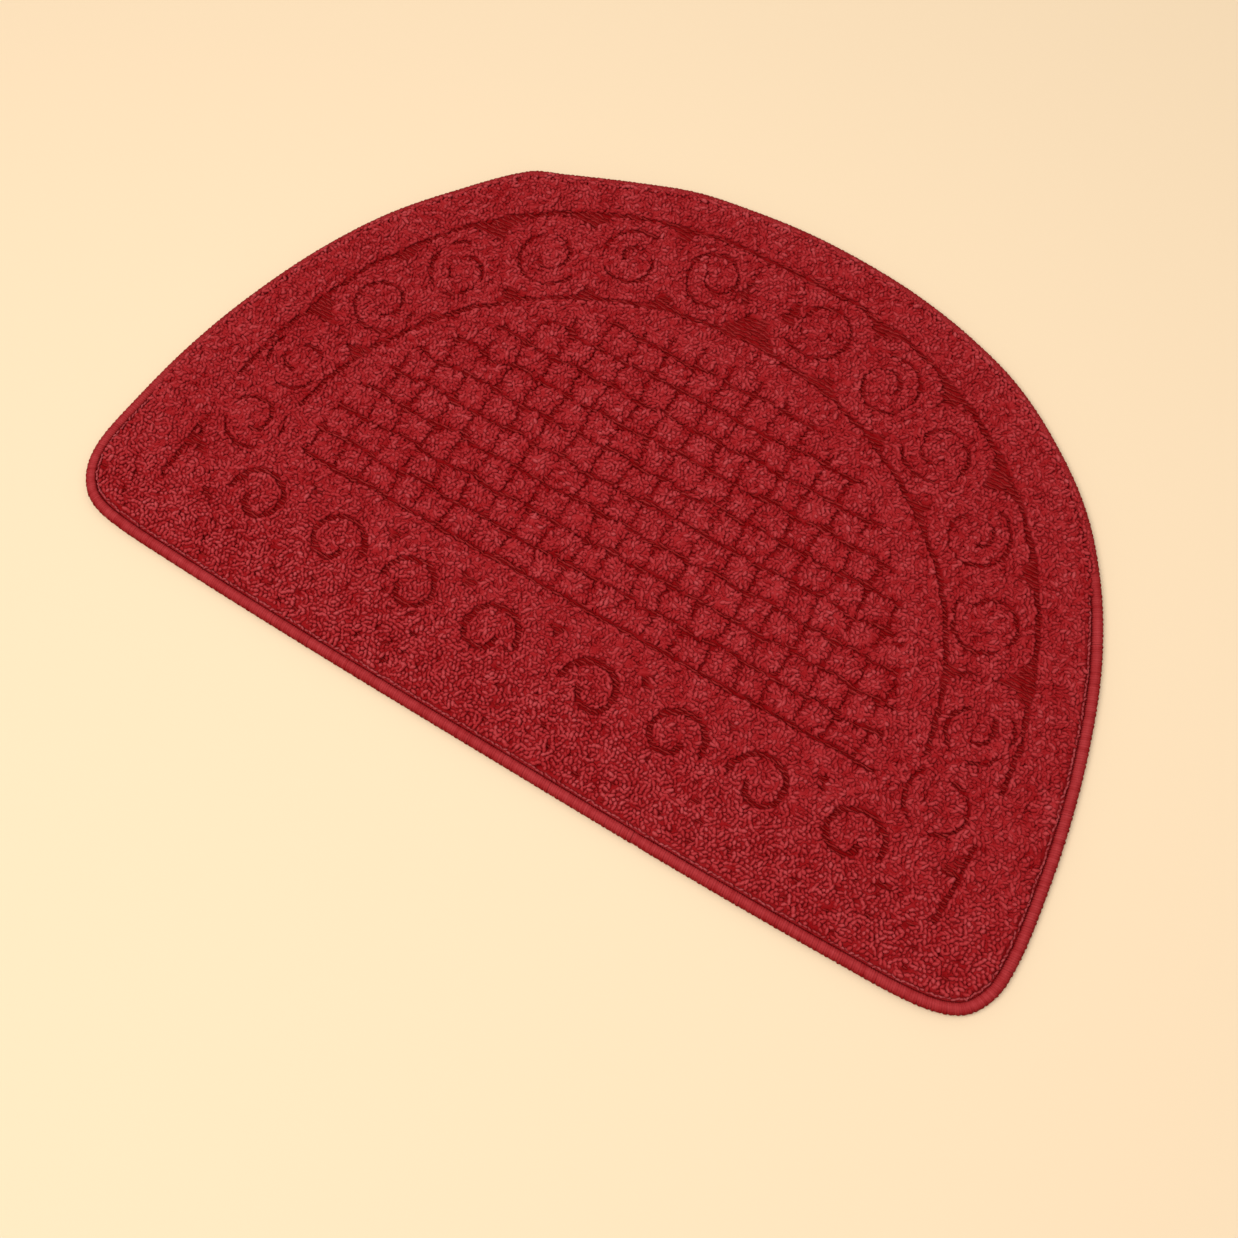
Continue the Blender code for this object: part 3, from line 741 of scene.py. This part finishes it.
def worms(name, material, middle, numbers, rings=3, sides=4):
    """Many short lengths of yarn, each an arch that is bent in plan as well.

    Along a worm s runs from -1 to 1. In plan its line turns at a steady rate, by the curl from the middle
    to an end, and its height is the top, less the drop times s squared, plus the tilt times s. Its section
    is an oval that narrows to the tips. Its rise is painted light and shade: the level at its top, falling
    by the fall down its sides and towards its tips as painted shade.
    """
    count = len(middle)
    labels = "top turn half curl drop tilt wide tall tone level fall".split()
    columns = [np.broadcast_to(numbers[label], count)[:, None] for label in labels]
    top, turn, half, curl, drop, tilt, wide, tall, tone, level, fall = columns
    s = np.append(np.linspace(-1.0, 1.0, rings), [-TIP_REACH, TIP_REACH])
    bend = np.where(np.abs(curl) < 0.05, 0.05, curl)
    ahead = half * np.sin(bend * s) / bend
    aside = half * (1 - np.cos(bend * s)) / bend
    cos, sin = np.cos(turn), np.sin(turn)
    x = middle[:, :1] + ahead * cos - aside * sin
    y = middle[:, 1:] + ahead * sin + aside * cos
    z = top - tall - drop * s**2 + tilt * half * s
    across = (turn + bend * s)[:, :rings, None]
    swell = np.sqrt(1.0 - TIP_NARROWS * s[:rings, None] ** 2)
    angle = 2 * math.pi * np.arange(sides) / sides + math.pi / 2
    outwards = wide[..., None] * swell * np.cos(angle)
    upwards = tall[..., None] * swell * np.sin(angle)
    ring_x = x[:, :rings, None] - np.sin(across) * outwards
    ring_y = y[:, :rings, None] + np.cos(across) * outwards
    ring_z = z[:, :rings, None] + upwards
    rings_flat = np.stack([ring_x, ring_y, ring_z], axis=-1).reshape(count, -1, 3)
    tips = np.stack([x[:, rings:], y[:, rings:], z[:, rings:] + TIP_LIFT * tall], axis=-1)
    points = np.concatenate([rings_flat, tips], axis=1)
    # Painted shade: darker down the sides and towards the tips.
    rise = level - fall * held((top - points[..., 2]) / (2 * tall))
    own = {"rise": rise.ravel(), "tone": np.repeat(tone, points.shape[1])}
    return new_piece(name, points.reshape(-1, 3), capsule_faces(count, rings, sides), material, own)


def lattice(x_pitch, y_pitch):
    """Places in rows along x, every second row moved half a pitch."""
    x, y = np.meshgrid(np.arange(-FIELD_X, FIELD_X, x_pitch), np.arange(-FIELD_Y, FIELD_Y, y_pitch))
    x = x + (np.arange(len(x)) % 2)[:, None] * x_pitch / 2
    return np.stack([x, y], axis=-1)


def pile_places(plan, draw):
    """Where each loop lies and which way, and what the pattern says there.

    A loop lies along its ridge, along or across the groove beside it, or along the rim. Beside a groove
    it is pushed off by as much as it would reach over the groove's middle.
    """
    rows = lattice(LOOP_PITCH, ROW_PITCH)
    places, turn = plan.ridges.settle(rows + draw.uniform(-LOOP_SHAKE, LOOP_SHAKE, rows.shape))
    at = plan.read(places)
    kept = (at["groove"] > GROOVE_BARE) & (at["pit"] < PIT_LEAN) & (at["edge"] > 1.0)
    places, turn, at = places[kept], turn[kept], {k: v[kept] for k, v in at.items()}
    count = len(places)
    matted = matted_share(places)
    shortest, longest = (blend(*ends, matted) for ends in zip(LOOP_HALF_LOOSE, LOOP_HALF_MATTED))
    half = blend(shortest, longest, draw.random(count))
    near = held(1.0 - at["groove"] / SHOULDER_REACH)
    cross = np.arctan2(at["away"][:, 1], at["away"][:, 0])
    turn = turn + draw.normal(0, 1, count) * blend(LOOP_TURN_LOOSE, LOOP_TURN_MATTED, matted)
    chance = draw.random(count)
    crossing = chance < (CROSSING_NEAR * near + CROSSING_ANYWHERE) * at["field"]
    turn = np.where(crossing, cross + draw.normal(0, 0.4, count), turn)
    beside = chance < near * (1.0 - at["field"])
    turn = np.where(beside, cross + math.pi / 2 + draw.normal(0, 0.2, count), turn)
    rim = np.arctan2(at["inwards"][:, 1], at["inwards"][:, 0]) + math.pi / 2
    turn = np.where(at["edge"] < RIM_ROW, rim + draw.normal(0, 0.2, count), turn)
    reach = half * np.abs(np.cos(turn - cross)) + LOOP_WIDE
    wanted = GROOVE_CLEAR + REACH_SHARE * reach + draw.normal(0, 0.15, count)
    push = np.clip(wanted - at["groove"], 0.0, PUSH_MOST)
    places = places + at["away"] * push[:, None]
    start = blend(PILE_START_OVER, PILE_START_BARE, bare_share(places))
    kept = at["edge"] > start + draw.uniform(-0.4, 0.4, count)
    at.update(places=places, half=half, turn=turn, groove=at["groove"] + push)
    return {k: v[kept] for k, v in at.items()}


def pile_height(places, at):
    """The height of the pile: domed over a cobble, rounded off beside a groove and at the rim.

    Each of these takes away a drop times the square of a share that grows to 1 at the groove or the rim.
    Clumps and swells add waves, and a crease takes away a bell round a wave's nought.
    """
    field = at["field"]
    reach, drop = blend(SHOULDER_REACH, DOME_REACH, field), blend(SHOULDER_DROP, DOME_DROP, field)
    top = blend(PILE_TOP, COBBLE_TOP, field) - drop * held(1.0 - at["groove"] / reach) ** 2
    rim = held((RIM_ROUND_FROM - at["edge"]) / RIM_ROUND_REACH)
    matted = matted_share(places)
    clumps = wander(places, CLUMP_LENGTH, 4) * blend(CLUMP_RISE_LOOSE, CLUMP_RISE_MATTED, matted)
    creases = np.exp(-(wander(places, CREASE_LENGTH, 6) / CREASE_HALF) ** 2)
    creases = creases * blend(CREASE_DROP_LOOSE, CREASE_DROP_MATTED, matted)
    top = top - SETTLED_BY + SWELL_RISE * wander(places, SWELL_LENGTH, 3) + clumps - creases
    return top - (RIM_DROP + RIM_DROP_MORE_BARE * bare_share(places)) * rim**2


def pile(plan, material):
    """The loops of the pile, in one mesh for each part of the pattern."""
    draw = np.random.default_rng(11)
    at = pile_places(plan, draw)
    at.update(drawn(draw, LOOPS, len(at["half"])))
    at["top"] = pile_height(at["places"], at) + np.clip(at["top"], -0.5, 0.5)
    at["wide"] *= LOOP_WIDE
    at["tall"] *= LOOP_TALL
    # Painted shade: a loop is painted darker the lower its top, with painted light added where the pile is
    # loose, and lighter along the rim where the pile leans over the binding; its fall is the painted shade
    # down its sides.
    at["level"] = held((at["top"] - SHADE_FULL_HEIGHT) / (SHADE_FREE_HEIGHT - SHADE_FULL_HEIGHT))
    matted = matted_share(at["places"])
    at["level"] += LOOSE_PALER * (1.0 - matted)
    by_rim = held((RIM_PALER_FROM - at["edge"]) / RIM_PALER_BLEND)
    at["level"] += RIM_PALER * by_rim * (1.0 - bare_share(at["places"]))
    at["fall"] = blend(SIDE_SHADE_LOOSE, SIDE_SHADE_MATTED, matted)
    shared = held(0.5 + TONE_SWING * wander(at["places"], TONE_CLUMP, 8))
    at["tone"] = blend(at["tone"], shared, TONE_SHARED)
    x, y = at["places"][:, 0] - AXIS_X, at["places"][:, 1]
    field = at["field"] > 0.5
    band = in_scroll_band(np.abs(x), y) & ~field
    curls = (y < FIRST_GROOVE_Y) & (y > CURLS_FROM_Y) & (np.abs(x) < CURLS_HALF_WIDTH) & ~field & ~band
    rest = ~(field | band | curls)
    parts = {
        "pile_cobbles_left": field & (x < 0), "pile_cobbles_right": field & (x >= 0),
        "pile_scrolls": band, "pile_curls": curls,
        "pile_border_left": rest & (x < 0), "pile_border_right": rest & (x >= 0),
    }
    pieces = []
    for name, chosen in parts.items():
        piece = worms(name, material, at["places"][chosen], {k: v[chosen] for k, v in at.items()})
        pieces.append(finish_piece(piece, ["pile_carpet"]))
    return pieces


def low_rows(plan, material):
    """The flat rows of yarn in the grooves and pits, end to end along x."""
    draw = np.random.default_rng(12)
    places = lattice(LOW_PITCH, LOW_ROW_PITCH).reshape(-1, 2)
    places[:, 1] += LOW_SWAY * wander(places, LOW_SWAY_LENGTH, 31)
    at = plan.read(places)
    low = ((at["groove"] < LOW_REACH) | (at["pit"] > PIT_LEAN - 0.8)) & (at["edge"] > CARPET_FOOT + 3.0)
    places, at = places[low], {k: v[low] for k, v in at.items()}
    places = places + draw.uniform(-1, 1, places.shape) * LOW_SHAKE
    numbers = drawn(draw, LOW_ROWS, len(places))
    numbers["top"] += blend(GROOVE_FLOOR, PIT_FLOOR, held(at["pit"] / PIT_FULL_DEPTH))
    return finish_piece(worms("low_rows", material, places, numbers), ["pile_carpet"])


def patch(loop, columns, rows):
    """A grid of places inside a loop of four sides, a Coons patch.

    At shares u and v it is the blend along v of the lower and upper sides, plus the blend along u of the
    left and right sides, less the blend of the four corners.
    """
    lower, right = loop[:columns + 1], loop[columns:columns + rows + 1]
    upper = loop[columns + rows:2 * columns + rows + 1][::-1]
    left = np.vstack([loop[2 * columns + rows:], loop[:1]])[::-1]
    u = np.linspace(0.0, 1.0, columns + 1)[None, :, None]
    v = np.linspace(0.0, 1.0, rows + 1)[:, None, None]
    sides = (1 - v) * lower[None] + v * upper[None] + (1 - u) * left[:, None] + u * right[:, None]
    low_corners, high_corners = (1 - u) * lower[0] + u * lower[-1], (1 - u) * upper[0] + u * upper[-1]
    return sides - (1 - v) * low_corners - v * high_corners


def bed(plan, material, backing):
    """The bed of the pile, a closed sheet from which the loops stand: its top, its edge, its underside.

    The top is a grid over the whole mat, a little below the loops' crests, that falls into the grooves, the
    pits and the seam by a smooth step. The edge goes out under the binding, down, and back to the foot, and
    the underside is a fan that lies flat on the floor.
    """
    fine, inwards = outline_at(BED_STEP)
    turns = [int(np.argmin(np.hypot(*(fine - corner).T))) for corner in BED_CORNERS]
    counts = [BED_COLUMNS, BED_ROWS, BED_COLUMNS, BED_ROWS]
    spans = zip(turns, turns[1:] + turns[:1], counts)
    chosen = [start + np.arange(n) * ((end - start) % len(fine)) / n for start, end, n in spans]
    chosen = np.concatenate(chosen).astype(int) % len(fine)
    places, inwards = fine[chosen], inwards[chosen]
    rim = places + inwards * CARPET_FOOT
    flat = patch(rim, BED_COLUMNS, BED_ROWS).reshape(-1, 2)
    at = plan.read(flat)
    open_share = held((at["groove"] - BED_FALL[0]) / (BED_FALL[1] - BED_FALL[0]))
    in_pit = (at["pit"] - PIT_LEAN + BED_PIT_FALL / 2) / BED_PIT_FALL
    open_share = np.minimum(open_share, held(1.0 - in_pit))
    strip = held((at["edge"] - STITCH_INWARDS - SEAM_CLEAR) / SEAM_FALL)
    seam = bare_share(flat) * (1.0 - strip)
    open_share = np.minimum(open_share, 1.0 - seam)
    shade = open_share**2 * (3 - 2 * open_share)
    matted = matted_share(flat)
    top = pile_height(flat, at)
    level = np.clip((top - SHADE_FULL_HEIGHT) / (PILE_TOP - SHADE_FULL_HEIGHT), 0.0, 1.2)
    z = blend(BED_IN_GROOVE, top - blend(BED_BELOW_LOOSE, BED_BELOW_MATTED, matted), shade)
    z = np.where(at["edge"] < CARPET_FOOT + 0.3, EDGE_TOP, z)
    number = np.arange((BED_ROWS + 1) * (BED_COLUMNS + 1)).reshape(BED_ROWS + 1, -1)
    ring = np.concatenate([number[0, :-1], number[:-1, -1], number[-1, :0:-1], number[:0:-1, 0]])
    z[ring] = EDGE_TOP
    edge_rows = [
        (places + inwards * CARPET_EDGE, EDGE_TOP), (places + inwards * CARPET_EDGE, EDGE_BOTTOM),
        (rim, EDGE_BOTTOM), (rim, 0.0),
    ]
    sweep = len(ring)
    edge = [np.column_stack([row, np.full(sweep, height)]) for row, height in edge_rows]
    points = np.vstack([np.column_stack([flat, z])] + edge + [[[0.0, -30.0, 0.0]]])
    rows = [ring] + [len(flat) + k * sweep + np.arange(sweep) for k in range(len(edge_rows))]
    top = np.stack([number[:-1, :-1], number[:-1, 1:], number[1:, 1:], number[1:, :-1]], axis=-1)
    quads = [top.reshape(-1, 4)]
    for upper, lower in zip(rows[:-1], rows[1:]):
        quads.append(np.stack([lower, np.roll(lower, -1), np.roll(upper, -1), upper], axis=-1))
    foot = rows[-1]
    under = np.stack([np.roll(foot, -1), foot, np.full(sweep, len(points) - 1)], axis=-1)
    # Painted shade: the bed is painted darker the lower the pile and where it falls into grooves, pits and
    # the seam, with a little painted light kept in the seam and the pits; its edge and underside are
    # painted at one level.
    lit = level * shade * blend(BED_RISE_LOOSE, BED_RISE_MATTED, matted)
    lit = np.maximum(np.maximum(lit, BED_RISE_SEAM * seam), BED_RISE_PIT * (at["pit"] > PIT_LEAN))
    rise = np.concatenate([lit, np.full(len(points) - len(flat), 0.3)])
    numbers = {"rise": rise, "tone": np.full(len(points), 0.5)}
    piece = new_piece("pile_bed", points, quads + [under], material, numbers)
    piece.data.materials.append(backing)
    kinds = np.zeros(len(piece.data.polygons), np.int32)
    kinds[-sweep:] = 1
    piece.data.polygons.foreach_set("material_index", kinds)
    return finish_piece(piece, ["pile_carpet"])


def lap_swell(places):
    """The binding's end laps over its start: it thickens along the lap and stops in a step."""
    along_lap = (places[:, 0] - LAP_X) / LAP_LENGTH
    on_lap = (places[:, 1] < LAP_BELOW_Y) & (along_lap > 0.0) & (along_lap < 1.0)
    return np.where(on_lap, LAP_SWELL * (1.0 - along_lap), 0.0)


def binding_core(material):
    """The binding's C-shaped body, under its threads: one section carried round the outline."""
    places, inwards = outline_at(BINDING_STEP)
    section = np.array(BINDING_CORE)
    flat = places[:, None] + section[None, :, 0, None] * inwards[:, None]
    height = np.broadcast_to(section[None, :, 1], flat.shape[:2])
    points = np.concatenate([flat, height[..., None]], axis=-1).reshape(-1, 3)
    round_one, sweep = len(section), len(places)
    k, j = np.meshgrid(np.arange(sweep), np.arange(round_one), indexing="ij")
    corner = k * round_one + j
    beside = k * round_one + (j + 1) % round_one
    beyond = [(place + round_one) % len(points) for place in (beside, corner)]
    quads = np.stack([corner, beside, *beyond], axis=-1)
    # The body is painted at one even level of painted light.
    numbers = {"rise": np.full(len(points), CORE_RISE), "tone": np.full(len(points), 0.5)}
    piece = new_piece("binding_core", points, [quads.reshape(-1, 4)], material, numbers)
    return finish_piece(piece, ["edge_binding"])


def binding_threads(material):
    """The threads wound over the binding, side by side all round the mat.

    Each follows one arc, from the lip inside over the top and round the outside to the floor, and slants
    along the edge by its own lead. A cosine along the edge sets them deeper and prouder in turn, which
    scallops the outside. A thread's section is an oval across its arc. Its rise is painted light and shade:
    a painted highlight over the top of the arc and painted shade round the outside, in the scallops'
    hollows and where the pile hides the binding.
    """
    draw = np.random.default_rng(13)
    places, inwards = outline_at(WRAP_PITCH)
    count = len(places)
    arc = np.array(WRAP_ARC)
    rings, sides = len(arc), WRAP_SIDES
    normal = np.gradient(arc, axis=0)
    normal = np.column_stack([normal[:, 1], -normal[:, 0]])
    normal /= np.linalg.norm(normal, axis=1, keepdims=True)
    ring = np.arange(rings)
    outside = np.interp(ring, [0, 3, 5, rings - 1], [0.0, 0.3, 1.0, 0.6])
    scallop = SCALLOP_DEPTH * np.cos(np.arange(count) * 2 * math.pi * WRAP_PITCH / SCALLOP_PITCH) * 0.5
    own = drawn(draw, THREADS, (count, 1))
    proud = lap_swell(places)[:, None] + scallop[:, None] * outside + own["proud"]
    section = arc[None] + proud[..., None] * -normal[None]
    heading = np.column_stack([inwards[:, 1], -inwards[:, 0]])
    lead = WRAP_SLANT * np.linspace(-0.5, 0.5, rings)[None] + own["lead"]
    wide = WRAP_WIDE * own["wide"] * np.interp(ring, [0, 1, rings - 1], [0.7, 1.0, 0.9])
    tall = WRAP_TALL * np.interp(ring, [0, 1, rings - 2, rings - 1], [0.7, 1.0, 1.0, 0.6])
    angle = 2 * math.pi * np.arange(sides) / sides
    sideways = lead[..., None] + wide[..., None] * np.cos(angle)
    lift = tall[None, :, None] * np.sin(angle)
    u = section[..., 0, None] - normal[None, :, 0, None] * lift
    z = section[..., 1, None] - normal[None, :, 1, None] * lift
    flat = places[:, None, None] + u[..., None] * inwards[:, None, None]
    flat = flat + sideways[..., None] * heading[:, None, None]
    rings_flat = np.concatenate([flat, z[..., None]], axis=-1).reshape(count, -1, 3)
    ends = rings_flat.reshape(count, rings, sides, 3)[:, [0, -1]].mean(axis=2)
    points = np.concatenate([rings_flat, ends], axis=1)
    # Painted shade round the outside, deeper in the scallops' hollows, and where the pile hides the
    # binding.
    rise = WRAP_RISE - SCALLOP_SHADE * outside[None] * (0.5 - scallop[:, None] / SCALLOP_DEPTH)
    rise = np.concatenate([np.repeat(rise, sides, axis=1), rise[:, :1], rise[:, -1:]], axis=1)
    shade = blend(WRAP_SHADE, 1.0, bare_share(places))
    tone = np.repeat(own["tone"][:, 0] * shade, rise.shape[1])
    numbers = {"rise": (shade[:, None] * rise).ravel(), "tone": tone}
    faces = capsule_faces(count, rings, sides)
    piece = new_piece("binding_threads", points.reshape(-1, 3), faces, material, numbers)
    return finish_piece(piece, ["edge_binding"])


def stitches(material):
    """The chain stitch beside the binding: short dashes of a lighter thread, end to end."""
    draw = np.random.default_rng(14)
    places, inwards = outline_at(STITCH_PITCH)
    bare = bare_share(places) > 0.02
    places, inwards = places[bare], inwards[bare]
    count = len(places)
    middle = places + inwards * (STITCH_INWARDS + draw.normal(0, STITCH_INWARDS_SPREAD, (count, 1)))
    numbers = drawn(draw, STITCHES, count)
    numbers["turn"] += np.arctan2(-inwards[:, 0], inwards[:, 1])
    numbers["top"] += STITCH_TOP
    return finish_piece(worms("chain_stitch", material, middle, numbers, sides=STITCH_SIDES))


def floor():
    """The floor that the mat lies on."""
    h, z = FLOOR_HALF / MM, FLOOR_BELOW
    points = np.array([(-h, -h, z), (h, -h, z), (h, h, z), (-h, h, z)])
    piece = new_piece("floor", points, [np.array([[0, 1, 2, 3]])], floor_paint())


def camera():
    """The camera in its place, looking at a point on the floor, rolled about its own view."""
    place, target = Vector(CAMERA_PLACE), Vector(CAMERA_LOOKS_AT)
    turn = (target - place).to_track_quat("-Z", "Y").to_matrix() @ Matrix.Rotation(CAMERA_ROLL, 3, "Z")
    lens = bpy.data.cameras.new("camera")
    lens.lens, lens.sensor_width = CAMERA_LENS, CAMERA_SENSOR
    lens.clip_start, lens.clip_end = 0.01, 20.0
    view = placed("camera", lens)
    view.matrix_world = Matrix.LocRotScale(place, turn, None)
    bpy.context.scene.camera = view


def area_light(name, place, size, power, colour):
    """A square soft box that faces the mat."""
    lamp = bpy.data.lights.new(name, "AREA")
    lamp.shape, lamp.size, lamp.energy, lamp.color = "SQUARE", size, power, colour
    thing = placed(name, lamp)
    thing.location = place
    thing.rotation_mode = "QUATERNION"
    thing.rotation_quaternion = (-Vector(place)).to_track_quat("-Z", "Y")


def lights():
    """Soft studio light: a large box high in front, a weaker one high behind, and an even sky."""
    world = bpy.data.worlds.new("studio")
    world.use_nodes = True
    sky = world.node_tree.nodes["Background"].inputs
    sky["Color"].default_value = (1.0, 0.98, 0.95, 1.0)
    sky["Strength"].default_value = 0.45
    bpy.context.scene.world = world
    area_light("key", place=(-0.35, -0.65, 1.8), size=1.3, power=33.0, colour=(1.0, 0.98, 0.95))
    area_light("fill", place=(0.8, 0.6, 1.7), size=1.6, power=9.0, colour=(1.0, 0.97, 0.94))
    bpy.context.scene.view_settings.view_transform = "Standard"


camera()
lights()
floor()
plan = Plan()
# The yarns' darkest colours are painted shade, and the last number of each is the share of its painted
# highlight.
pile_yarn = yarn_paint("pile_yarn", YARN_SHADED, YARN_LIT, roughness=0.9, highlight_share=0.4)
low_yarn = yarn_paint("low_yarn", LOW_SHADED, LOW_LIT, roughness=0.9, highlight_share=0.1)
binding_yarn = yarn_paint("binding_yarn", BINDING_SHADED, BINDING_RED, roughness=0.7, highlight_share=0.1)
stitch_yarn = yarn_paint("stitch_yarn", BINDING_SHADED, STITCH_PINK, roughness=0.6, highlight_share=0.1)

cloth = bed(plan, pile_yarn, backing_paint())
loops = pile(plan, pile_yarn) + [low_rows(plan, low_yarn)]
binding_core(binding_yarn)
binding_threads(binding_yarn)
chain = stitches(stitch_yarn)

# The outline's points, a millimetre apart.
outer = outline_at(1.0)[0]
loops + [chain]
